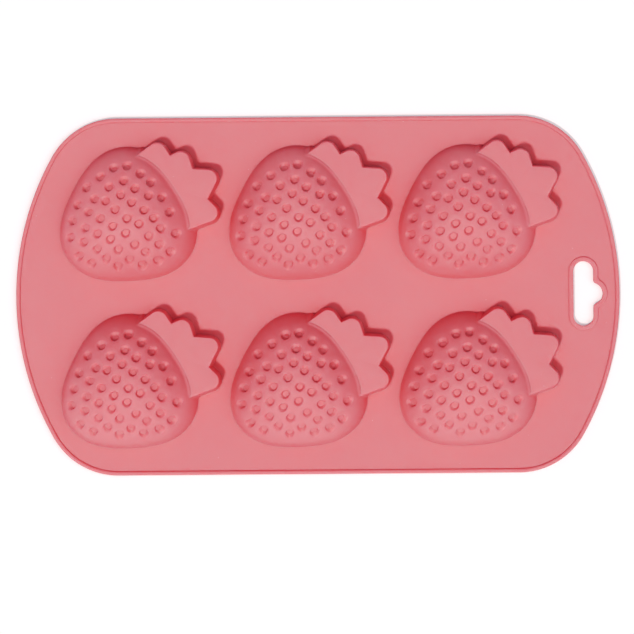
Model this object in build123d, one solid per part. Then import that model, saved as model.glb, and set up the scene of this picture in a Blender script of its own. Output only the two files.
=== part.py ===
from build123d import *
from math import atan2, cos, pi, radians, sin, sqrt
import os

os.makedirs("parts", exist_ok=True)

# Silicone soap mould with six strawberry cups, lying open side down on its flat pouring face.
# It is turned over to be filled. Millimetres, +Z up, X along the length.
# The origin is the middle of the flat open face, which is the lowest face.

# ---- plate -------------------------------------------------------------------------------
LENGTH = 300.0            # overall, over the two bowed ends
WIDTH = 177.5             # overall, over the two straight sides
CORNER_RADIUS = 37.0      # round corner, tangent to the straight side and to the bowed end
END_RADIUS = 143.0        # gentle bow of the two ends
DECK_THICKNESS = 2.0      # the flat web that joins the cups

BEAD_WIDTH = 2.2          # lip round the edge
BEAD_RISE = 1.0           # how far the lip stands above the deck

# ---- hang slot, in the right-hand end ----------------------------------------------------
SLOT_LENGTH = 32.0        # across the mould, the usual length of a display-hook slot
SLOT_WIDTH = 9.9
SLOT_INSET = 18.0         # from the mould's end to the middle of the slot
LOBE_RADIUS = 5.2         # round bay in the middle of the slot, where the hook sits
LOBE_OFFSET = 4.4         # from the slot's middle line to the bay's centre
LOBE_FILLET = 1.5         # eases the corner between the bay and the slot
MEETING_TOLERANCE = 0.1   # a vertex this near the slot's side lies on it
COLLAR_WIDTH = 2.3        # thickened rim round the slot
COLLAR_RISE = 0.8

# ---- how the strawberries are laid out ---------------------------------------------------
COLUMNS = 3
ROWS = 2
GAP_X = 4.38              # clear deck between the boxes of two neighbouring strawberries
GAP_Y = 13.84
GRID_SHIFT_X = -10.0      # the middles of the fruits lie left of the plate's middle, and a little
GRID_SHIFT_Y = -2.8       # low, because the crowns all point up to the right
CROWN_DIRECTION = 32.7    # degrees from +X

# ---- one fruit cup -----------------------------------------------------------------------
WALL = 1.6                # silicone wall of the cups
FRUIT_RADIUS = 33.1       # mean radius of the fruit where it meets the deck
FRUIT_LOBE = 2.55         # makes the round outline a rounded triangle, one corner at the tip
FRUIT_HEIGHT = 25.0       # above the deck
FRUIT_POWER = 2 / 3       # how full the dome is: 0.5 would be an ellipsoid
CREST_SHARE = 0.22        # the middle of the dome is taken as flat, out to this share of the radius
OUTLINE_POINTS = 18       # points of the smooth closed curve of the fruit
SECTIONS = 6              # levels of the dome

# ---- one leaf crown: outwards from the fruit's back, and to the left of the crown's direction
CROWN_HEIGHT = 9.5        # flat top, above the deck
CROWN_FLARE = 6.0         # degrees of draft on the crown's walls
LEAF_RADIUS = 4.6         # round leaf tips
LEAF_CORNERS = [(4.15, 24.3), (12.95, 13.3), (21.95, -5.8), (10.75, -25.6)]
LEAF_NOTCHES = [(4.35, 14.6), (10.15, 3.0), (8.25, -13.7)]
CROWN_REACH = 22.55       # how far the crown's block reaches back inside the fruit
CROWN_SIDES = (23.0, -18.0)  # where its two sides end there

# ---- the studs that print the seeds, on the inside of the fruit cup ------------------------
STUD_WIDTH = 3.8          # at the foot
STUD_TIP = 2.4            # at the blunt end
STUD_HEIGHT = 0.9
STUD_SINK = 0.5           # the cone starts this deep in the wall and is trimmed to the face
# Each ring: how far out it lies, as a share of the fruit's radius, and the angles of its
# studs in degrees from the crown's direction. They are placed by eye, as on a real berry.
STUD_RINGS = [
    (0.03, [-52]),
    (0.21, [107, 180, -56]),
    (0.25, [34, -121]),
    (0.33, [68, -10]),
    (0.38, [148, -158]),
    (0.42, [106, -33, -71]),
    (0.45, [39, 176, -104]),
    (0.52, [11, 60, 85, -136, -49]),
    (0.60, [115, 137, 160, -166, -93, -71]),
    (0.68, [-3, 22, 39, 176, -149, -118, -25]),
    (0.735, [56, 71, 89, -50]),
    (0.78, [-133, -104, -86, -70]),
    (0.82, [109, 131, 149, -161]),
    (0.85, [165, -175]),
]

FRUIT_TOP = DECK_THICKNESS + FRUIT_HEIGHT
CROWN_TOP = DECK_THICKNESS + CROWN_HEIGHT


def plate_outline():
    """The outline of the whole mould: straight sides, round corners and bowed ends."""
    end_x = LENGTH / 2 - END_RADIUS
    corner_y = WIDTH / 2 - CORNER_RADIUS
    corner_x = end_x + sqrt((END_RADIUS - CORNER_RADIUS) ** 2 - corner_y ** 2)
    reach = END_RADIUS / (END_RADIUS - CORNER_RADIUS)
    meet_x = end_x + (corner_x - end_x) * reach
    meet_y = corner_y * reach
    halfway = (pi / 2 + atan2(corner_y, corner_x - end_x)) / 2
    bulge_x = corner_x + CORNER_RADIUS * cos(halfway)
    bulge_y = corner_y + CORNER_RADIUS * sin(halfway)
    right = [
        Line((0, WIDTH / 2), (corner_x, WIDTH / 2)),
        ThreePointArc((corner_x, WIDTH / 2), (bulge_x, bulge_y), (meet_x, meet_y)),
        ThreePointArc((meet_x, meet_y), (LENGTH / 2, 0), (meet_x, -meet_y)),
        ThreePointArc((meet_x, -meet_y), (bulge_x, -bulge_y), (corner_x, -WIDTH / 2)),
        Line((corner_x, -WIDTH / 2), (0, -WIDTH / 2)),
    ]
    left = [edge.mirror(Plane.YZ) for edge in right]
    return make_face(right + left)


def slot_outline():
    """The hang slot with its round bay on the side of the mould's end."""
    slot = Rot(0, 0, 90) * SlotOverall(SLOT_LENGTH, SLOT_WIDTH)
    slot += Pos(LOBE_OFFSET, 0) * Circle(LOBE_RADIUS)
    on_side = [v for v in slot.vertices() if abs(v.X - SLOT_WIDTH / 2) < MEETING_TOLERANCE]
    corners = [v for v in on_side if abs(v.Y) < LOBE_RADIUS]
    return Pos(LENGTH / 2 - SLOT_INSET, 0) * fillet(corners, LOBE_FILLET)


def fruit_radius(angle):
    """Radius of the fruit at the deck, at an angle in radians from the crown's direction."""
    return FRUIT_RADIUS - FRUIT_LOBE * cos(3 * angle)


def dome_height(share):
    """Height of the dome over the deck as a share of its full height."""
    return ((1 - share ** 2) / (1 - CREST_SHARE ** 2)) ** FRUIT_POWER


def fruit_section(share, wall, height):
    """One level of the dome: the outline drawn in by the wall, shrunk to a share, at a height."""
    turns = [2 * pi * i / OUTLINE_POINTS for i in range(OUTLINE_POINTS)]
    points = []
    for turn in turns:
        radius = (fruit_radius(turn) - wall) * share
        points.append((radius * cos(turn), radius * sin(turn)))
    return Pos(0, 0, height) * make_face(Spline(*points, periodic=True))


def fruit_solid(wall):
    """The fruit's dome on its straight root, drawn in by a wall; a wall of 0 gives the outside."""
    root = extrude(fruit_section(1, wall, 0), DECK_THICKNESS)
    levels = []
    for i in range(SECTIONS):
        share = sqrt(1 - (1 - CREST_SHARE ** 2) * (i / (SECTIONS - 1)) ** (1 / FRUIT_POWER))
        height = DECK_THICKNESS + (FRUIT_HEIGHT - wall) * dome_height(share)
        levels.append(fruit_section(share, wall, height))
    return root + loft(levels)


def crown_solid(wall):
    """The crown's block with flared walls, drawn in by a wall; a wall of 0 gives the outside."""
    points = [(-CROWN_REACH, CROWN_SIDES[0])]
    for corner, notch in zip(LEAF_CORNERS, LEAF_NOTCHES + [(-CROWN_REACH, CROWN_SIDES[1])]):
        points += [corner, notch]
    leaves = make_face(Polyline(*points, close=True))
    tips = [leaves.vertices().sort_by_distance((*corner, 0))[0] for corner in LEAF_CORNERS]
    leaves = Pos(fruit_radius(0), 0) * fillet(tips, LEAF_RADIUS)
    if wall:
        leaves = offset(leaves, -wall, kind=Kind.INTERSECTION)
    top = CROWN_TOP - wall
    return extrude(Pos(0, 0, top) * leaves, -top, taper=-CROWN_FLARE)


def stud_group(inside):
    """The studs that print the seeds: blunt cones that stand in from the cup's inner face."""
    height = STUD_HEIGHT + STUD_SINK
    cone = Cone(STUD_WIDTH / 2, STUD_TIP / 2, height, align=(Align.CENTER, Align.CENTER, Align.MIN))
    studs = []
    for share, angles in STUD_RINGS:
        for angle in angles:
            turn = radians(angle)
            radius = fruit_radius(turn) - WALL
            rise = FRUIT_HEIGHT - WALL
            slope = 2 * FRUIT_POWER * share * rise / (1 - share ** 2) ** (1 - FRUIT_POWER)
            outward = Vector(slope * cos(turn), slope * sin(turn), radius).normalized()
            level = DECK_THICKNESS + rise * min(1, dome_height(share))
            foot = Vector(radius * share * cos(turn), radius * share * sin(turn), level)
            seat = Plane(origin=foot + outward * STUD_SINK, z_dir=-outward)
            studs.append(seat * cone & inside)
    return Compound(studs)


# One strawberry, at the origin, with its crown along +X.
fruit_outside = fruit_solid(0)
fruit_inside = fruit_solid(WALL)
crown_outside = crown_solid(0)
crown_inside = crown_solid(WALL)
fruit_cup = fruit_outside - fruit_inside - crown_inside
crown_cup = crown_outside - crown_inside - fruit_outside
studs = stud_group(fruit_inside)
cup_block = fruit_outside + crown_outside

berry_size = (Rot(0, 0, CROWN_DIRECTION) * cup_block).bounding_box().size
pitch_x = berry_size.X + GAP_X
pitch_y = berry_size.Y + GAP_Y
places = []
for row in range(ROWS):
    for column in range(COLUMNS):
        x = GRID_SHIFT_X + pitch_x * (column - (COLUMNS - 1) / 2)
        y = GRID_SHIFT_Y + pitch_y * ((ROWS - 1) / 2 - row)
        places.append(Pos(x, y) * Rot(0, 0, CROWN_DIRECTION))

# The plate: deck, lip and slot collar.
sheet = plate_outline()
inner_sheet = offset(sheet, -BEAD_WIDTH)
slot = slot_outline()
collar_outline = offset(slot, COLLAR_WIDTH)

border_bead = extrude(sheet - inner_sheet, DECK_THICKNESS + BEAD_RISE)
hang_slot_collar = extrude(collar_outline - slot, DECK_THICKNESS + COLLAR_RISE)
mould_deck = extrude(inner_sheet - collar_outline, DECK_THICKNESS)
for place in places:
    mould_deck -= place * cup_block

nodes = {
    "mould_deck": mould_deck,
    "border_bead": border_bead,
    "hang_slot_collar": hang_slot_collar,
}
for number, place in enumerate(places, 1):
    nodes[f"fruit_cup_{number}"] = place * fruit_cup
    nodes[f"leaf_crown_{number}"] = place * crown_cup
    nodes[f"seed_studs_{number}"] = place * studs

for name, shape in nodes.items():
    export_step(shape, f"parts/{name}.step")
print(f"{len(nodes)} nodes, cups {FRUIT_TOP:.1f} mm high at a pitch of {pitch_x:.2f} by {pitch_y:.2f} mm")
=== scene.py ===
# %% [markdown]
# # A silicone soap mould with six strawberry cups
# The real mould is one sheet of soft pink silicone: a flat deck with a lip round it, a slot to
# hang it by, and six hollow strawberries that stand up from the deck. It lies open side down, so
# what shows is the outside of the cups. This lesson builds it from formulas, one region at a time:
# each region is drawn as a stack of closed loops, the loops are skinned, and the skins are cut
# where they meet. A sculpt would also do, but loops keep every wall, radius and dimple a number.

# %% Load the frame
from math import atan2, cos, pi, radians, sin, sqrt, tan
import bmesh
import bpy
import numpy as np
from mathutils import Matrix, Vector


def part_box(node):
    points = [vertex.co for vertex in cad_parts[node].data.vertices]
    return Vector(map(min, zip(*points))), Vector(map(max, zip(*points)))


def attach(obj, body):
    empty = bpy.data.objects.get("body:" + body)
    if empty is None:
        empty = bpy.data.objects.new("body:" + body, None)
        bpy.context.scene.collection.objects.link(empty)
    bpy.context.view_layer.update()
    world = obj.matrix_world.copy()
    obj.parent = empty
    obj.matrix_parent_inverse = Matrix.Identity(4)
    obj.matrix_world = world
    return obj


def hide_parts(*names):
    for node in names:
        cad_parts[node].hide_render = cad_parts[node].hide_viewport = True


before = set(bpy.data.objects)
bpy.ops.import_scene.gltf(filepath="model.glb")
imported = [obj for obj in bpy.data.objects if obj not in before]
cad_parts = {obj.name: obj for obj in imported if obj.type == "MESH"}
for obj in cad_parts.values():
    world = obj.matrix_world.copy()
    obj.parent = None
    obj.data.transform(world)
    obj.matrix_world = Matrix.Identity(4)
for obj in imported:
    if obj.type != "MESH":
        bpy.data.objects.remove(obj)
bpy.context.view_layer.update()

MM = 0.001

# %% [markdown]
# ## Sizes that the frame gives
# The frame already says where each region sits, so nothing is placed by eye. The deck's top, the
# lip's height and width, and the slot's rim are read from the boxes of their nodes.

# %% Read the plate's sizes
_, deck_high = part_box("mould_deck")
bead_low, bead_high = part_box("border_bead")
collar_low, collar_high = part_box("hang_slot_collar")
_, cup_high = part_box("fruit_cup_1")
_, crown_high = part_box("leaf_crown_1")
CUPS = sum(name.startswith("fruit_cup_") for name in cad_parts)

DECK_TOP = deck_high[2]
BEAD_TOP = bead_high[2]
BEAD_WIDTH = bead_high[0] - deck_high[0]
COLLAR_TOP = collar_high[2]
FRUIT_TOP = cup_high[2]
CROWN_TOP = crown_high[2]
print(f"deck {DECK_TOP / MM:.1f}, crown {CROWN_TOP / MM:.1f}, top {FRUIT_TOP / MM:.1f} mm, {CUPS} cups")

# %% [markdown]
# ## Skinning loops of points
# Every solid here is a stack of closed loops with the same number of points. Joining each loop to
# the next with quads gives an even skin that shades smoothly, which a curve bevel or a remesh
# wouldn't give so cleanly. A skin either closes with a fan at each end, as a cup does, or runs back
# to its first loop, as a lip or a rim does.

# %% Helpers that make a mesh from loops
def new_piece(name, points, faces):
    """A mesh object from points in metres, with its normals turned outwards."""
    mesh = bpy.data.meshes.new(name)
    mesh.from_pydata([tuple(p) for p in points], [], faces)
    work = bmesh.new()
    work.from_mesh(mesh)
    bmesh.ops.recalc_face_normals(work, faces=work.faces)
    work.to_mesh(mesh)
    work.free()
    piece = bpy.data.objects.new(name, mesh)
    bpy.context.scene.collection.objects.link(piece)
    return piece


def skin(name, loops, centres=None):
    """Skins loops of shape (levels, points, 3). With two centres, fans close the two ends."""
    levels, count, _ = loops.shape
    points = loops.reshape(-1, 3).tolist()
    faces = []
    for level in range(levels if centres is None else levels - 1):
        here = level * count
        there = (level + 1) % levels * count
        for i in range(count):
            j = (i + 1) % count
            faces.append((here + i, here + j, there + j, there + i))
    if centres is not None:
        for centre, first in zip(centres, (0, (levels - 1) * count)):
            points.append(centre)
            faces += [(len(points) - 1, first + i, first + (i + 1) % count) for i in range(count)]
    return new_piece(name, points, faces)


def smooth_step(low, high, value):
    """0 below low, 1 above high, and an S-shaped rise between them."""
    t = np.clip((value - low) / (high - low), 0, 1)
    return t * t * (3 - 2 * t)

# %% [markdown]
# ## The fruit's dome
# Seen from above, the fruit is a circle pulled towards three soft corners, one of them the tip.
# From the side it is a full, rounded pillow. Both are formulas, so the dome can be drawn at any
# fineness. Its foot flares into the deck with a small fillet, because liquid silicone can't hold a
# sharp inside corner, and a second fillet meets the flat top of the leaf crown.

# %% The fruit's measures
FRUIT_RADIUS = 33.1 * MM
FRUIT_LOBE = 2.55 * MM     # how far the three corners stand out of the circle
FRUIT_POWER = 2 / 3        # smaller is fuller
WALL = 1.6 * MM
FOOT_FILLET = 0.6 * MM
CREASE_FILLET = 1.1 * MM   # where the fruit meets the crown's flat top
CROWN_SPAN = (radians(-44), radians(50))     # where the crown meets the fruit
SPAN_FADE = radians(4)
AROUND = 400               # points round the fruit, about 0.5 mm apart
LOOP_STEP = 0.4 * MM       # distance between loops down the dome
PROFILE_SAMPLES = 2000
FOOT_LOOPS = 8
print(f"fruit of {FRUIT_RADIUS / MM:.1f} mm radius with a wall of {WALL / MM:.1f} mm")

# %% The fruit's outline and profile
def fruit_radius(angle):
    """The fruit's radius at the deck; the angle is counted from the crown's direction."""
    return FRUIT_RADIUS - FRUIT_LOBE * np.cos(3 * angle)


def flare(height, radius):
    """How far a fillet stands out at a height above the surface it runs into."""
    rest = np.clip(radius - height, 0, radius)
    return radius - np.sqrt(radius ** 2 - rest ** 2)


def dome_profile(rise):
    """Shares of the radius from the crest to the foot, spaced evenly along the curve, with heights."""
    share = np.sin(np.linspace(0, pi / 2, PROFILE_SAMPLES))
    height = rise * (1 - share ** 2) ** FRUIT_POWER
    run = np.hypot(np.diff(share) * FRUIT_RADIUS, np.diff(height))
    along = np.concatenate([[0], np.cumsum(run)])
    even = np.linspace(LOOP_STEP, along[-1], int(along[-1] / LOOP_STEP))
    return np.interp(even, along, share), np.interp(even, along, height)


def fruit_loops(wall, bottom, fillets):
    """Loops of the dome from the crest down to a bottom height, drawn in by a wall."""
    angle = np.linspace(0, 2 * pi, AROUND, endpoint=False)
    turned = (angle + pi) % (2 * pi) - pi
    share, height = dome_profile(FRUIT_TOP - DECK_TOP - wall)
    if fillets:
        foot = FOOT_FILLET * (1 - np.sin(np.linspace(0, pi / 2, FOOT_LOOPS)))
        keep = height > FOOT_FILLET
        low_share = np.sqrt(1 - (foot / (FRUIT_TOP - DECK_TOP)) ** (1 / FRUIT_POWER))
        share = np.append(share[keep], low_share)
        height = np.append(height[keep], foot)
    radius = share[:, None] * (fruit_radius(angle) - wall)
    if fillets:
        inside = smooth_step(CROWN_SPAN[0], CROWN_SPAN[0] + SPAN_FADE, turned)
        inside = inside * (1 - smooth_step(CROWN_SPAN[1] - SPAN_FADE, CROWN_SPAN[1], turned))
        above_crown = np.maximum(height + DECK_TOP - CROWN_TOP, 0)
        radius = radius + flare(height, FOOT_FILLET)[:, None]
        radius = radius + flare(above_crown, CREASE_FILLET)[:, None] * inside
    loops = np.stack([radius * np.cos(angle), radius * np.sin(angle),
                      np.repeat(DECK_TOP + height[:, None], AROUND, 1)], axis=-1)
    base = loops[-1:].copy()
    base[..., 2] = bottom
    return np.concatenate([loops, base])


dome = fruit_loops(0, 0, True)
dome_size = np.ptp(dome, axis=(0, 1)) / MM
print(f"dome of {len(dome)} loops, {dome_size[0]:.1f} by {dome_size[1]:.1f} mm")

# %% [markdown]
# ## The seeds
# Each seed is an egg-shaped pit with steep sides and a flat floor, its narrow end towards the
# crown, and it sits in a wide, shallow dimple, because the flesh swells between the seeds. The pits
# are pressed into the loops by moving points along the surface's normals. Cutting each one with a
# boolean would leave hard rims that moulded silicone doesn't have. A seed's place is given as a
# share of the way from the crest to the foot, with angles counted from the crown's direction. A pit
# is as deep as the wall is thick, so the wall swells inwards under each one to stay whole.

# %% Where the seeds are and how deep they go
SEED_RINGS = [
    (0.03, [-52]),
    (0.21, [107, 180, -56]),
    (0.25, [34, -121]),
    (0.33, [68, -10]),
    (0.38, [148, -158]),
    (0.42, [106, -33, -71]),
    (0.45, [39, 176, -104]),
    (0.52, [11, 60, 85, -136, -49]),
    (0.60, [115, 137, 160, -166, -93, -71]),
    (0.68, [-3, 22, 39, 176, -149, -118, -25]),
    (0.735, [56, 71, 89, -50]),
    (0.78, [-133, -104, -86, -70]),
    (0.82, [109, 131, 149, -161]),
    (0.85, [165, -175]),
]
PIT_LENGTH = 2.6 * MM      # half length, towards the crown
PIT_WIDTH = 2.25 * MM      # half width
PIT_EGG = 0.2              # how much narrower the crown end is
PIT_FLOOR = 0.6            # the flat floor's share of the pit
PIT_DEPTH = 1.6 * MM
DIMPLE_RADIUS = 4.4 * MM
DIMPLE_DEPTH = 0.4 * MM
INNER_SWELL = 0.8 * MM     # the wall swells inwards by this much under each pit
print("seeds on a fruit:", sum(len(angles) for _, angles in SEED_RINGS))

# %% Press the seeds into the dome
def seed_frames(wall):
    """Place, outward direction and two tangents of every seed, the first towards the crown."""
    rise = FRUIT_TOP - DECK_TOP - wall
    frames = []
    for share, angles in SEED_RINGS:
        for angle in np.radians(angles):
            radius = fruit_radius(angle) - wall
            slope = 2 * FRUIT_POWER * share * rise / (1 - share ** 2) ** (1 - FRUIT_POWER)
            place = Vector((radius * share * cos(angle), radius * share * sin(angle),
                            DECK_TOP + rise * (1 - share ** 2) ** FRUIT_POWER))
            outward = Vector((slope * cos(angle), slope * sin(angle), radius)).normalized()
            side = outward.cross(Vector((1, 0, 0))).normalized()
            frames.append((place, outward, side.cross(outward), side))
    return frames


def egg(along, across):
    """Distance from a seed's middle as a share of its egg-shaped outline."""
    width = PIT_WIDTH * (1 - PIT_EGG * np.clip(along / PIT_LENGTH, -1, 1))
    return np.hypot(along / PIT_LENGTH, across / width)


def press_seeds(loops, wall, pit_depth, dimple_depth):
    """Presses pits and dimples into a dome along its normals. Their shape is measured in plan."""
    down = np.gradient(loops, axis=0)
    around = np.roll(loops, -1, axis=1) - np.roll(loops, 1, axis=1)
    normal = np.cross(down, around)
    normal /= np.linalg.norm(normal, axis=-1, keepdims=True)
    depth = np.zeros(loops.shape[:2])
    for place, *_ in seed_frames(wall):
        along, across, _ = np.moveaxis(loops - np.array(place), -1, 0)
        pit = 1 - smooth_step(PIT_FLOOR, 1, egg(along, across))
        dimple = np.clip(1 - (along ** 2 + across ** 2) / DIMPLE_RADIUS ** 2, 0, 1) ** 2
        depth += pit_depth * pit + dimple_depth * dimple
    return loops - normal * depth[..., None]


pressed = press_seeds(dome, 0, PIT_DEPTH, DIMPLE_DEPTH)
deepest = np.linalg.norm(pressed - dome, axis=-1).max()
print(f"deepest pit {deepest / MM:.2f} mm")

# %% [markdown]
# ## The leaf crown
# The crown is a low block with four pointed leaves, a flat top and walls that lean out a little so
# that the soap lets go. Its outline is a polygon whose leaf tips are rounded. To draw it larger or
# smaller by an even distance, as a wall, a fillet or a rounded edge needs, each point is searched
# for along a ray from the middle, where the distance to the polygon has the wanted value. Scaling
# the outline would be simpler, but it would thin the walls at the leaf tips.

# %% The crown's measures
CROWN_CORNERS = np.array([
    (8.0, 23.0), (34.7, 24.3), (34.9, 14.6), (43.5, 13.3), (40.7, 3.0), (52.5, -5.8),
    (38.8, -13.7), (41.3, -25.6), (8.0, -18.0)]) * MM
CROWN_MIDDLE = np.array((28.0, -1.0)) * MM
LEAF_RADIUS = 4.6 * MM
CROWN_FLARE = radians(6)
CROWN_EDGE = 0.7 * MM      # the rounded rim of the flat top
CROWN_RAYS = 640
CROWN_ROUND_STEPS = 7      # loops over the rim, and down the foot's fillet
CROWN_WALL_STEPS = 8
RAY_REACH = 70 * MM        # further out than any outline here
HALVINGS = 26              # each one halves the search's error
FINER = 6                  # how many more rays than wanted measure an outline's length
print(f"crown of {len(CROWN_CORNERS)} corners, {CROWN_TOP / MM:.1f} mm high")

# %% Distance to the crown's outline
def inset(corners, amount):
    """A polygon, drawn clockwise, with every side moved inwards."""
    sides = corners - np.roll(corners, 1, axis=0)
    sides /= np.linalg.norm(sides, axis=1, keepdims=True)
    inward = np.stack([sides[:, 1], -sides[:, 0]], 1)
    bisector = inward + np.roll(inward, -1, axis=0)
    return corners + amount * 2 * bisector / (bisector ** 2).sum(1, keepdims=True)


def polygon_distance(points, corners):
    """Distance from points to a polygon, negative inside it."""
    nearest = np.full(len(points), np.inf)
    inside = np.ones(len(points))
    for a, b in zip(corners, np.roll(corners, 1, axis=0)):
        side, away = b - a, points - a
        share = np.clip(away @ side / (side @ side), 0, 1)
        nearest = np.minimum(nearest, ((away - share[:, None] * side) ** 2).sum(1))
        turn = side[0] * away[:, 1] - side[1] * away[:, 0]
        above, below = points[:, 1] >= a[1], points[:, 1] < b[1]
        flips = (above & below & (turn > 0)) | (~above & ~below & (turn <= 0))
        inside = np.where(flips, -inside, inside)
    return inside * np.sqrt(nearest)


leaf_core = inset(CROWN_CORNERS, LEAF_RADIUS)


def crown_distance(points):
    """Distance to the crown's top outline, with its leaf tips rounded."""
    return polygon_distance(points, leaf_core) - LEAF_RADIUS


deep = crown_distance(CROWN_MIDDLE[None])[0]
print(f"the crown's middle is {-deep / MM:.1f} mm inside its outline")

# %% Loops at a wanted distance
def level_loop(distance, middle, rays, level):
    """The closed loop of points where a distance function has a value, one on each ray."""
    near, far = np.zeros(len(rays)), np.full(len(rays), RAY_REACH)
    for _ in range(HALVINGS):
        half = (near + far) / 2
        outside = distance(middle + rays * half[:, None]) > level
        near, far = np.where(outside, near, half), np.where(outside, half, far)
    return middle + rays * near[:, None]


def even_rays(distance, middle, count):
    """Rays whose ends lie evenly spaced along the outline."""
    turns = np.linspace(0, 2 * pi, FINER * count + 1)
    rays = np.stack([np.cos(turns), np.sin(turns)], 1)
    loop = level_loop(distance, middle, rays, 0)
    along = np.concatenate([[0], np.cumsum(np.linalg.norm(np.diff(loop, axis=0), axis=1))])
    chosen = np.interp(np.linspace(0, along[-1], count, endpoint=False), along, turns)
    return np.stack([np.cos(chosen), np.sin(chosen)], 1)


crown_rays = even_rays(crown_distance, CROWN_MIDDLE, CROWN_RAYS)
outline = level_loop(crown_distance, CROWN_MIDDLE, crown_rays, 0)
print(f"crown outline {np.ptp(outline[:, 0]) / MM:.1f} by {np.ptp(outline[:, 1]) / MM:.1f} mm")

# %% Loops of the crown
def stacked(distance, middle, rays, profile):
    """Loops at (distance out, height) pairs of a profile."""
    loops = []
    for out, height in profile:
        loop = level_loop(distance, middle, rays, out)
        loops.append(np.column_stack([loop, np.full(len(loop), height)]))
    return np.array(loops)


def crown_profile(wall, bottom, fillet):
    """From the flat top over its rounded rim, down the leaning wall and into the deck."""
    top = CROWN_TOP - wall
    edge = CROWN_EDGE if fillet else CROWN_EDGE / 2
    quarter = np.linspace(0, pi / 2, CROWN_ROUND_STEPS)
    profile = [(-wall - edge * (1 - sin(t)), top - edge * (1 - cos(t))) for t in quarter]
    low = DECK_TOP + (FOOT_FILLET if fillet else 0)
    for height in np.linspace(top - edge, low, CROWN_WALL_STEPS)[1:]:
        profile.append((tan(CROWN_FLARE) * (top - height) - wall, height))
    foot = profile[-1][0]
    if fillet:
        for t in quarter[1:]:
            profile.append((foot + FOOT_FILLET * (1 - cos(t)), low - FOOT_FILLET * sin(t)))
    profile.append((profile[-1][0], bottom))
    return profile


def crown_solid(name, wall, bottom, fillet):
    """A closed solid of the crown, drawn in by a wall, from its top to a bottom height."""
    profile = crown_profile(wall, bottom, fillet)
    loops = stacked(crown_distance, CROWN_MIDDLE, crown_rays, profile)
    ends = [(*CROWN_MIDDLE, profile[0][1]), (*CROWN_MIDDLE, bottom)]
    return skin(name, loops, ends)


top_profile = crown_profile(0, 0, True)
print(f"crown of {len(top_profile)} loops, its foot {top_profile[-1][0] / MM:.2f} mm outside its top")

# %% [markdown]
# ## Cutting one strawberry
# The fruit and the crown are two skins that pass through each other. Booleans turn them into the two
# regions of the real wall: the fruit loses its inside and the crown's inside, so that soap can run
# from one cavity to the other, and the crown stops at the fruit. The manifold solver is used,
# because every skin here is closed, and it is quick and exact on dense meshes.

# %% Make the two cups of one strawberry
BELOW = -1 * MM            # cutters reach below the open face, so that they cut it cleanly


def cut(piece, *tools):
    """Takes the tools away from a piece and keeps the result as its mesh."""
    for tool in tools:
        step = piece.modifiers.new("cut", "BOOLEAN")
        step.operation = "DIFFERENCE"
        step.solver = "MANIFOLD"
        step.object = tool
    ready = piece.evaluated_get(bpy.context.evaluated_depsgraph_get())
    mesh = bpy.data.meshes.new_from_object(ready)
    piece.modifiers.clear()
    piece.data = mesh
    return piece


def fruit_solid(name, loops):
    """A closed solid of the fruit from the loops of its dome."""
    return skin(name, loops, [(0, 0, loops[0, 0, 2]), (0, 0, loops[-1, 0, 2])])


hollow_dome = press_seeds(fruit_loops(WALL, BELOW, False), WALL, 0, INNER_SWELL)
fruit_cup = fruit_solid("fruit_pattern", pressed)
fruit_cutter = fruit_solid("fruit_cutter", fruit_loops(0, BELOW, True))
fruit_hollow = fruit_solid("fruit_hollow", hollow_dome)
crown_cup = crown_solid("crown_pattern", 0, 0, True)
crown_cutter = crown_solid("crown_cutter", 0, BELOW, True)
crown_hollow = crown_solid("crown_hollow", WALL, BELOW, False)
cut(fruit_cup, fruit_hollow, crown_hollow)
cut(crown_cup, crown_hollow, fruit_cutter)
print("fruit cup faces", len(fruit_cup.data.polygons))
print("crown cup faces", len(crown_cup.data.polygons))

# %% [markdown]
# ## Six strawberries
# All six are the same shape, pointing the same way, so their pieces share one mesh each. The turn
# towards the crown is worked into the mesh itself, which leaves each copy only a place to stand.
# That place comes from the box of the CAD node: its low corner less the low corner of the turned
# foot outline is the fruit's middle.

# %% Place the cups and crowns
CROWN_DIRECTION = radians(32.7)
FOOT_SAMPLES = 3600
foot_angles = np.linspace(0, 2 * pi, FOOT_SAMPLES)
turned_angles = foot_angles + CROWN_DIRECTION
directions = np.stack([np.cos(turned_angles), np.sin(turned_angles)], 1)
foot_low = (fruit_radius(foot_angles)[:, None] * directions).min(0)


def cup_place(number):
    """Where the middle of a fruit stands."""
    low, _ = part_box(f"fruit_cup_{number}")
    return Vector((low[0] - foot_low[0], low[1] - foot_low[1], 0))


def stand_for(piece, node):
    """A piece that takes a CAD node's place and moves with the mould."""
    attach(piece, "root")
    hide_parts(node)


def repeat(pattern, name, node):
    """Turns a pattern to the crown's direction and puts a copy at each of the six places."""
    pattern.data.transform(Matrix.Rotation(CROWN_DIRECTION, 4, "Z"))
    copies = []
    for number in range(1, CUPS + 1):
        copy = bpy.data.objects.new(f"{name}_{number}", pattern.data)
        bpy.context.scene.collection.objects.link(copy)
        copy.location = cup_place(number)
        stand_for(copy, f"{node}_{number}")
        copies.append(copy)
    return copies


cups = repeat(fruit_cup, "strawberry_cup", "fruit_cup")
crowns = repeat(crown_cup, "crown_cup", "leaf_crown")
for cup in cups:
    print(cup.name, "middle at", [round(v / MM, 1) for v in cup.location[:2]])

# %% [markdown]
# ## The studs inside
# Where a pit shows outside, a stud stands on the inside wall, and it is the stud that prints the seed
# into the soap. Each is a small blunt cap on the same egg-shaped outline, on top of the swell and
# sunk a little into the wall. They are drawn as loops too, one stack for each seed, and joined into
# one mesh for each cup.

# %% Build the studs
STUD_HEIGHT = 0.6 * MM
STUD_SINK = 0.6 * MM
STUD_SHARE = 0.8           # a stud's size as a share of the pit's
STUD_FLAT = 0.4            # the blunt top's share of the stud
STUD_SHARES = np.array([0.15, 0.4, 0.55, 0.7, 0.85, 1.0, 1.0])    # loops from the top outwards
STUD_POINTS = 20


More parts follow.
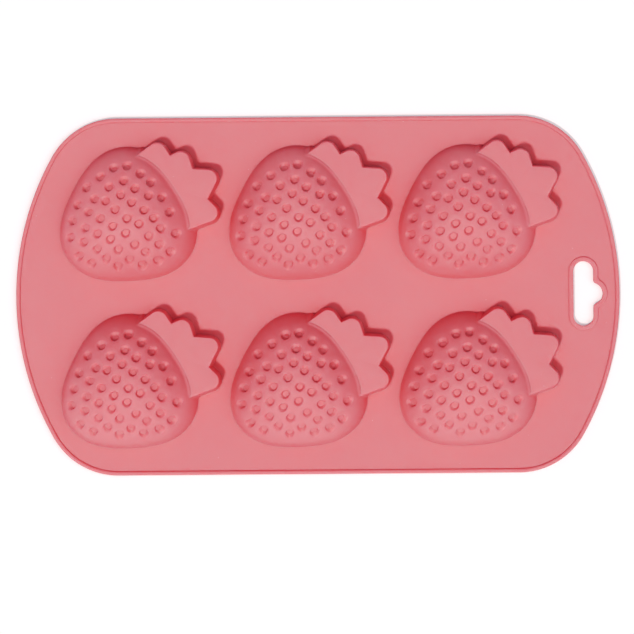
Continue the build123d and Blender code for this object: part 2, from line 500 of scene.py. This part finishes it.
def stud_points():
    """Points and faces of all the studs of one cup."""
    points, faces = [], []
    turns = np.linspace(0, 2 * pi, STUD_POINTS, endpoint=False)
    lifts = STUD_HEIGHT * (1 - smooth_step(STUD_FLAT, 1, STUD_SHARES))
    lifts[-1] = -STUD_SINK
    for foot, outward, along, across in seed_frames(WALL):
        place = foot - outward * INNER_SWELL
        first = len(points)
        for share, lift in zip(STUD_SHARES, lifts):
            for t in turns:
                a = PIT_LENGTH * STUD_SHARE * share * cos(t)
                width = PIT_WIDTH * STUD_SHARE * (1 - PIT_EGG * a / PIT_LENGTH)
                b = width * share * sin(t)
                points.append(place + along * a + across * b - outward * lift)
        points += [place - outward * STUD_HEIGHT, place + outward * STUD_SINK]
        for level in range(len(STUD_SHARES) - 1):
            here = first + level * STUD_POINTS
            there = here + STUD_POINTS
            for i in range(STUD_POINTS):
                j = (i + 1) % STUD_POINTS
                faces.append((here + i, here + j, there + j, there + i))
        last = first + (len(STUD_SHARES) - 1) * STUD_POINTS
        for i in range(STUD_POINTS):
            j = (i + 1) % STUD_POINTS
            faces.append((len(points) - 2, first + i, first + j))
            faces.append((len(points) - 1, last + i, last + j))
    return points, faces


stud_pattern = new_piece("stud_pattern", *stud_points())
studs = repeat(stud_pattern, "seed_studs_inside", "seed_studs")
for helper in (fruit_cup, crown_cup, fruit_hollow, crown_hollow, stud_pattern):
    bpy.data.objects.remove(helper)
print("stud faces in each cup", len(studs[0].data.polygons))

# %% [markdown]
# ## The lip round the edge
# The plate's outline is two straight sides, four round corners and two gently bowed ends, all
# tangent. Since it is made of arcs and lines, a point and its outward direction are known all the way
# round, and any smaller outline is the same points moved inwards. The lip is a skin of such loops
# round a half-round section, so it keeps an even width on the corners.

# %% The plate's outline
LENGTH, WIDTH = bead_high[0] - bead_low[0], bead_high[1] - bead_low[1]
CORNER_RADIUS = 37.0 * MM
END_RADIUS = 143.0 * MM
OUTLINE_STEP = 1.0 * MM


def arc(centre, radius, start, stop):
    """Points and outward directions along an arc."""
    count = max(2, int(abs(stop - start) * radius / OUTLINE_STEP))
    turns = np.linspace(start, stop, count, endpoint=False)
    outward = np.stack([np.cos(turns), np.sin(turns)], 1)
    return np.array(centre) + radius * outward, outward


def plate_outline():
    """Points and outward directions round the plate, anticlockwise from its lower right corner."""
    end_x = LENGTH / 2 - END_RADIUS
    corner_y = WIDTH / 2 - CORNER_RADIUS
    corner_x = end_x + sqrt((END_RADIUS - CORNER_RADIUS) ** 2 - corner_y ** 2)
    swing = atan2(corner_y, corner_x - end_x)
    right = [arc((corner_x, -corner_y), CORNER_RADIUS, -pi / 2, -swing),
             arc((end_x, 0), END_RADIUS, -swing, swing),
             arc((corner_x, corner_y), CORNER_RADIUS, swing, pi / 2)]
    count = int(2 * corner_x / OUTLINE_STEP)
    across = np.linspace(corner_x, -corner_x, count, endpoint=False)
    side = np.stack([across, np.full(count, WIDTH / 2)], 1)
    half = right + [(side, np.tile((0.0, 1.0), (count, 1)))]
    points = np.concatenate([p for p, _ in half])
    outward = np.concatenate([o for _, o in half])
    return np.concatenate([points, -points]), np.concatenate([outward, -outward])


rim_points, rim_outward = plate_outline()


def plate_loop(inwards, height):
    """The plate's outline moved inwards, at a height."""
    return np.column_stack([rim_points - inwards * rim_outward, np.full(len(rim_points), height)])


print(f"plate outline of {len(rim_points)} points")

# %% Build the lip
BEAD_SHOULDER = 1.0 * MM   # height of the half-round top
BEAD_UNDER = 0.3 * MM      # the eased edge round the open face
BEAD_EASE = 0.3            # how near its middle comes to the square corner, as a share
BEAD_STEPS = 15


def bead_section():
    """The lip's half-round section as (inwards, height) pairs, from its outer foot over its top."""
    middle, low = BEAD_WIDTH / 2, BEAD_TOP - BEAD_SHOULDER
    eased = BEAD_UNDER * BEAD_EASE
    section = [(BEAD_UNDER, 0), (eased, eased), (0, BEAD_UNDER)]
    for t in np.linspace(0, pi, BEAD_STEPS):
        section.append((middle - middle * cos(t), low + BEAD_SHOULDER * sin(t)))
    return section + [(BEAD_WIDTH, 0)]


border = skin("border_lip", np.array([plate_loop(*pair) for pair in bead_section()]))
stand_for(border, "border_bead")
print("lip faces", len(border.data.polygons))

# %% [markdown]
# ## The hang slot's rim
# The slot is a stadium with a round bay in its outer side. Its distance function is the smaller of
# the stadium's and the circle's, blended where they meet. The search along rays that drew the
# crown's loops also draws the rim's inner wall, its rounded top and its outer wall.

# %% Build the slot's rim
SLOT_LENGTH = 32.0 * MM
SLOT_WIDTH = 9.9 * MM
LOBE_RADIUS = 5.2 * MM
LOBE_OFFSET = 4.4 * MM
LOBE_BLEND = 1.6 * MM
COLLAR_WIDTH = 2.3 * MM
COLLAR_EDGE = 0.45 * MM
COLLAR_ROUND_STEPS = 6
SLOT_POINTS = 320
SLOT_PLACE = np.array((collar_low[0] + COLLAR_WIDTH + SLOT_WIDTH / 2,
                       (collar_low[1] + collar_high[1]) / 2))
RAY_PLACE = SLOT_PLACE + np.array((1 * MM, 0))    # the rays start nearer the bay, to see into it


def slot_distance(points):
    """Distance to the slot with its bay, negative inside it."""
    x, y = (points - SLOT_PLACE).T
    straight = SLOT_LENGTH / 2 - SLOT_WIDTH / 2
    stadium = np.hypot(x, np.maximum(np.abs(y) - straight, 0)) - SLOT_WIDTH / 2
    bay = np.hypot(x - LOBE_OFFSET, y) - LOBE_RADIUS
    mix = np.clip(0.5 + 0.5 * (bay - stadium) / LOBE_BLEND, 0, 1)
    return bay + (stadium - bay) * mix - LOBE_BLEND * mix * (1 - mix)


def collar_section():
    """(distance out from the slot, height) pairs, up the slot's wall, over the rim and down."""
    edge, low = COLLAR_EDGE, COLLAR_TOP - COLLAR_EDGE
    quarter = np.linspace(0, pi / 2, COLLAR_ROUND_STEPS)
    section = [(0, 0)] + [(edge * (1 - cos(t)), low + edge * sin(t)) for t in quarter]
    section += [(COLLAR_WIDTH - edge * (1 - sin(t)), low + edge * cos(t)) for t in quarter]
    return section + [(COLLAR_WIDTH, 0)]


slot_rays = even_rays(slot_distance, RAY_PLACE, SLOT_POINTS)
collar = skin("hang_slot_rim", stacked(slot_distance, RAY_PLACE, slot_rays, collar_section()))
stand_for(collar, "hang_slot_collar")
print("rim faces", len(collar.data.polygons))

# %% [markdown]
# ## The deck
# The deck is the flat web between the cups. It starts as a plain closed plate inside the lip, and
# solids with the cups' outer shapes are taken away from it, so the deck ends exactly where each cup
# begins. Drawing its outline with six curved holes by hand would leave gaps.

# %% Cut the deck
deck = skin("deck_web", np.array([plate_loop(BEAD_WIDTH, DECK_TOP), plate_loop(BEAD_WIDTH, 0)]),
            [(0, 0, DECK_TOP), (0, 0, 0)])
ABOVE = 2 * COLLAR_TOP     # the collar's cutter reaches above the deck too
collar_block = [(COLLAR_WIDTH, ABOVE), (COLLAR_WIDTH, BELOW)]
collar_cutter = skin("collar_cutter", stacked(slot_distance, SLOT_PLACE, slot_rays, collar_block),
                     [(*SLOT_PLACE, ABOVE), (*SLOT_PLACE, BELOW)])
cut(deck, collar_cutter)
for number in range(1, CUPS + 1):
    for cutter in (fruit_cutter, crown_cutter):
        cutter.location = cup_place(number)
        cutter.rotation_euler = (0, 0, CROWN_DIRECTION)
    cut(deck, fruit_cutter, crown_cutter)
for helper in (fruit_cutter, crown_cutter, collar_cutter):
    bpy.data.objects.remove(helper)
stand_for(deck, "mould_deck")
print("deck faces", len(deck.data.polygons))

# %% [markdown]
# ## Smooth shading
# The skins are fine enough to shade smoothly, but the edges round the open face and the cut seams
# must stay crisp. Smoothing by angle keeps an edge sharp only where the faces meet steeply.

# %% Shade the pieces
SHARP_ANGLE = radians(38)
pieces = cups + crowns + studs + [border, collar, deck]
for mesh in {piece.data for piece in pieces}:
    mesh.shade_smooth()
    mesh.set_sharp_from_angle(angle=SHARP_ANGLE)
print(f"{len(pieces)} pieces, {sum(len(piece.data.polygons) for piece in pieces)} faces")

# %% [markdown]
# ## The silicone
# The mould is platinum-cured silicone rubber, coloured pink right through and cast against a fine
# satin metal tool. Silicone's index of refraction is about 1.41. Its surface is matt to satin, so a
# highlight is broad and soft, and light enters a millimetre or two before it comes back, which
# softens small shadows. Up close it shows the tool's faint grain, slow changes of shade where the
# colour is a little thicker or thinner, and pale specks of dust, because silicone holds on to dust.

# %% A node helper and the colours
def to_linear(code):
    """An sRGB hex colour as linear red, green, blue and alpha."""
    values = [int(code[i:i + 2], 16) / 255 for i in (0, 2, 4)]
    return [v / 12.92 if v <= 0.04045 else ((v + 0.055) / 1.055) ** 2.4 for v in values] + [1.0]


def add_node(tree, kind, settings=None, links=None):
    """Adds a node. Settings are properties or input values; links are input name to output socket."""
    node = tree.nodes.new(kind)
    for key, value in (settings or {}).items():
        if isinstance(key, str) and hasattr(node, key):
            setattr(node, key, value)
        else:
            node.inputs[key].default_value = value
    for key, socket in (links or {}).items():
        tree.links.new(socket, node.inputs[key])
    return node


SILICONE_PINK = to_linear("e18b8e")
SILICONE_DEEP = to_linear("dd868a")
DUST = to_linear("eeb2b4")
print("silicone pink", [round(v, 3) for v in SILICONE_PINK[:3]])

# %% [markdown]
# ## Pattern sizes of the silicone
# A pattern's scale is one over its size in metres. The coordinates are places in the room, so that
# the patterns run on from piece to piece and no two cups are alike. The moulded grain is really
# about 0.05 mm, too fine to show here, so it is drawn at 0.35 mm.

# %% Sizes and strengths of the silicone's patterns
MOTTLE_SIZE = 30 * MM
GRAIN_SIZE = 0.35 * MM
WAVE_SIZE = 9 * MM
DUST_SPACING = 7 * MM
DUST_SIZE = 0.025          # a speck's radius as a share of the spacing
GRAIN_HEIGHT, GRAIN_STRENGTH = 0.05 * MM, 0.25
WAVE_HEIGHT, WAVE_STRENGTH = 0.15 * MM, 0.3
SMOOTHEST, ROUGHEST = 0.62, 0.70
SILICONE_IOR = 1.41
LIGHT_DEPTH = 1.5 * MM     # how far red light travels inside
LIGHT_SPREAD = (1.0, 0.25, 0.3)
LIGHT_SHARE = 0.5
print(f"grain {GRAIN_SIZE / MM:.2f} mm, waves {WAVE_SIZE / MM:.0f} mm, mottle {MOTTLE_SIZE / MM:.0f} mm")

# %% Make the silicone material
def satin_silicone():
    """Satin pink silicone rubber with grain, slow waves, a change of shade and dust."""
    material = bpy.data.materials.new("satin_pink_silicone")
    material.use_nodes = True
    tree = material.node_tree
    tree.nodes.clear()
    place = add_node(tree, "ShaderNodeNewGeometry").outputs["Position"]
    mottle = add_node(tree, "ShaderNodeTexNoise", {"Scale": 1 / MOTTLE_SIZE, "Detail": 2.0},
                      {"Vector": place})
    pinks = add_node(tree, "ShaderNodeMix", {"data_type": "RGBA", 6: SILICONE_DEEP, 7: SILICONE_PINK},
                     {0: mottle.outputs[0]})
    specks = add_node(tree, "ShaderNodeTexVoronoi", {"Scale": 1 / DUST_SPACING}, {"Vector": place})
    speck = add_node(tree, "ShaderNodeMath", {"operation": "LESS_THAN", 1: DUST_SIZE},
                     {0: specks.outputs["Distance"]})
    dusty = add_node(tree, "ShaderNodeMix", {"data_type": "RGBA", 7: DUST},
                     {0: speck.outputs[0], 6: pinks.outputs[2]})
    grain = add_node(tree, "ShaderNodeTexNoise", {"Scale": 1 / GRAIN_SIZE, "Detail": 2.0},
                     {"Vector": place})
    waves = add_node(tree, "ShaderNodeTexNoise", {"Scale": 1 / WAVE_SIZE, "Detail": 1.0},
                     {"Vector": place})
    sheen = add_node(tree, "ShaderNodeMapRange", {3: SMOOTHEST, 4: ROUGHEST}, {0: mottle.outputs[0]})
    soft = add_node(tree, "ShaderNodeBump", {"Strength": GRAIN_STRENGTH, "Distance": GRAIN_HEIGHT},
                    {"Height": grain.outputs[0]})
    wavy = add_node(tree, "ShaderNodeBump", {"Strength": WAVE_STRENGTH, "Distance": WAVE_HEIGHT},
                    {"Height": waves.outputs[0], "Normal": soft.outputs[0]})
    shader = add_node(tree, "ShaderNodeBsdfPrincipled",
                      {"IOR": SILICONE_IOR, "Subsurface Weight": LIGHT_SHARE,
                       "Subsurface Scale": LIGHT_DEPTH, "Subsurface Radius": LIGHT_SPREAD},
                      {"Base Color": dusty.outputs[2], "Roughness": sheen.outputs[0],
                       "Normal": wavy.outputs[0]})
    add_node(tree, "ShaderNodeOutputMaterial", links={"Surface": shader.outputs[0]})
    return material


silicone = satin_silicone()
for mesh in {piece.data for piece in pieces}:
    mesh.materials.clear()
    mesh.materials.append(silicone)
print("silicone nodes", len(silicone.node_tree.nodes))

# %% [markdown]
# ## Floor and light
# The mould lies on a white sweep in a pale room that lights it from all round. A key lamp at the
# lower left, small and high, gives the clear shadows of the crowns, and a wide, soft fill lamp at
# the right lifts their other side. Sun lamps are used, because their angle alone sets how soft a
# shadow's edge is, at any distance.

# %% Floor and lights
FLOOR_SIZE = 6.0
FLOOR_DROP = 0.1 * MM      # keeps the paper clear of the mould's flat underside
KEY_TO_LIGHT = Vector((-0.27, -0.36, 0.893))
KEY_STRENGTH = 1.7
KEY_ANGLE = radians(7.5)
FILL_TO_LIGHT = Vector((0.45, -0.20, 0.87))
FILL_STRENGTH = 0.8
FILL_ANGLE = radians(60)
LAMP_COLOUR = to_linear("fff7f0")[:3]
ROOM_STRENGTH = 0.37
ROOM_COLOUR = to_linear("e6ecff")
PAPER_WHITE = to_linear("f8f8f8")
PAPER_ROUGHNESS = 0.9
PAPER_GLOW = 0.1


def white_paper():
    """A matt white sweep: no gloss, and a little light of its own so that it reads as white."""
    material = bpy.data.materials.new("white_sweep_paper")
    material.use_nodes = True
    shader = material.node_tree.nodes["Principled BSDF"]
    shader.inputs["Base Color"].default_value = PAPER_WHITE
    shader.inputs["Roughness"].default_value = PAPER_ROUGHNESS
    shader.inputs["Emission Color"].default_value = to_linear("ffffff")
    shader.inputs["Emission Strength"].default_value = PAPER_GLOW
    return material


half = FLOOR_SIZE / 2
corners = [(x * half, y * half, -FLOOR_DROP) for x, y in ((-1, -1), (1, -1), (1, 1), (-1, 1))]
floor = new_piece("white_sweep", corners, [(0, 1, 2, 3)])
floor.data.materials.append(white_paper())

world = bpy.data.worlds.new("soft_white_room")
bpy.context.scene.world = world
world.use_nodes = True
sky = world.node_tree.nodes["Background"]
sky.inputs["Color"].default_value = ROOM_COLOUR
sky.inputs["Strength"].default_value = ROOM_STRENGTH


def lamp(name, to_light, strength, angle):
    """A far lamp; the wider its angle, the softer its shadows."""
    light = bpy.data.lights.new(name, "SUN")
    light.energy = strength
    light.angle = angle
    light.color = LAMP_COLOUR
    holder = bpy.data.objects.new(name, light)
    holder.rotation_euler = to_light.to_track_quat("Z", "Y").to_euler()
    bpy.context.scene.collection.objects.link(holder)


lamp("key_lamp", KEY_TO_LIGHT, KEY_STRENGTH, KEY_ANGLE)
lamp("fill_lamp", FILL_TO_LIGHT, FILL_STRENGTH, FILL_ANGLE)
print(f"key lamp {KEY_STRENGTH}, fill lamp {FILL_STRENGTH}, room {ROOM_STRENGTH}")

# %% [markdown]
# ## Tone
# A product picture is developed with some contrast: mid tones are pulled down and lights rolled off,
# each colour by itself. That turns a half shadow on pink silicone into a deeper, redder pink, while
# white stays white. One curve does it for all three colours, and green gets a longer toe of its own,
# so that the deepest shadows turn crimson instead of brown.

# %% Tone curves
ALL_TONES = [(0.05, 0.012), (0.11, 0.05), (0.17, 0.125), (0.24, 0.24), (0.35, 0.40),
             (0.55, 0.62), (0.77, 0.77)]
GREEN_TOE = [(0.02, 0.002), (0.04, 0.022), (0.06, 0.052), (0.09, 0.088), (0.13, 0.13),
             (0.20, 0.20), (0.40, 0.40), (0.70, 0.70)]
GREEN, COMBINED = 1, 3     # Blender's numbers for these curves
look = bpy.context.scene.view_settings
look.view_transform = "Standard"
look.use_curve_mapping = True
for channel, bends in ((COMBINED, ALL_TONES), (GREEN, GREEN_TOE)):
    for low, high in bends:
        look.curve_mapping.curves[channel].points.new(low, high)
look.curve_mapping.update()
print("tone curve points", len(ALL_TONES), "and", len(GREEN_TOE))

# %% [markdown]
# ## Camera
# The camera looks straight down from well above, so the cups' sides show only a little. Its lens is
# worked out from the width that it takes in at the deck's height, which is easier to measure and to
# change than a focal length.

# %% Camera
VIEW_HEIGHT = 1.6          # metres above the floor
VIEW_WIDTH = 315.1 * MM    # what the frame takes in, at the deck's height
SENSOR = 36.0
LEAN = radians(-0.45)      # the mould lies very slightly askew in the frame
view_middle = Vector((-0.52 * MM, -10.64 * MM))

camera_data = bpy.data.cameras.new("camera")
camera_data.sensor_width = SENSOR
camera_data.lens = SENSOR * (VIEW_HEIGHT - DECK_TOP) / VIEW_WIDTH
camera = bpy.data.objects.new("camera", camera_data)
camera.location = (*view_middle, VIEW_HEIGHT)
camera.rotation_euler = (0, 0, LEAN)
bpy.context.scene.collection.objects.link(camera)
bpy.context.scene.camera = camera
print(f"camera of {camera_data.lens:.1f} mm")
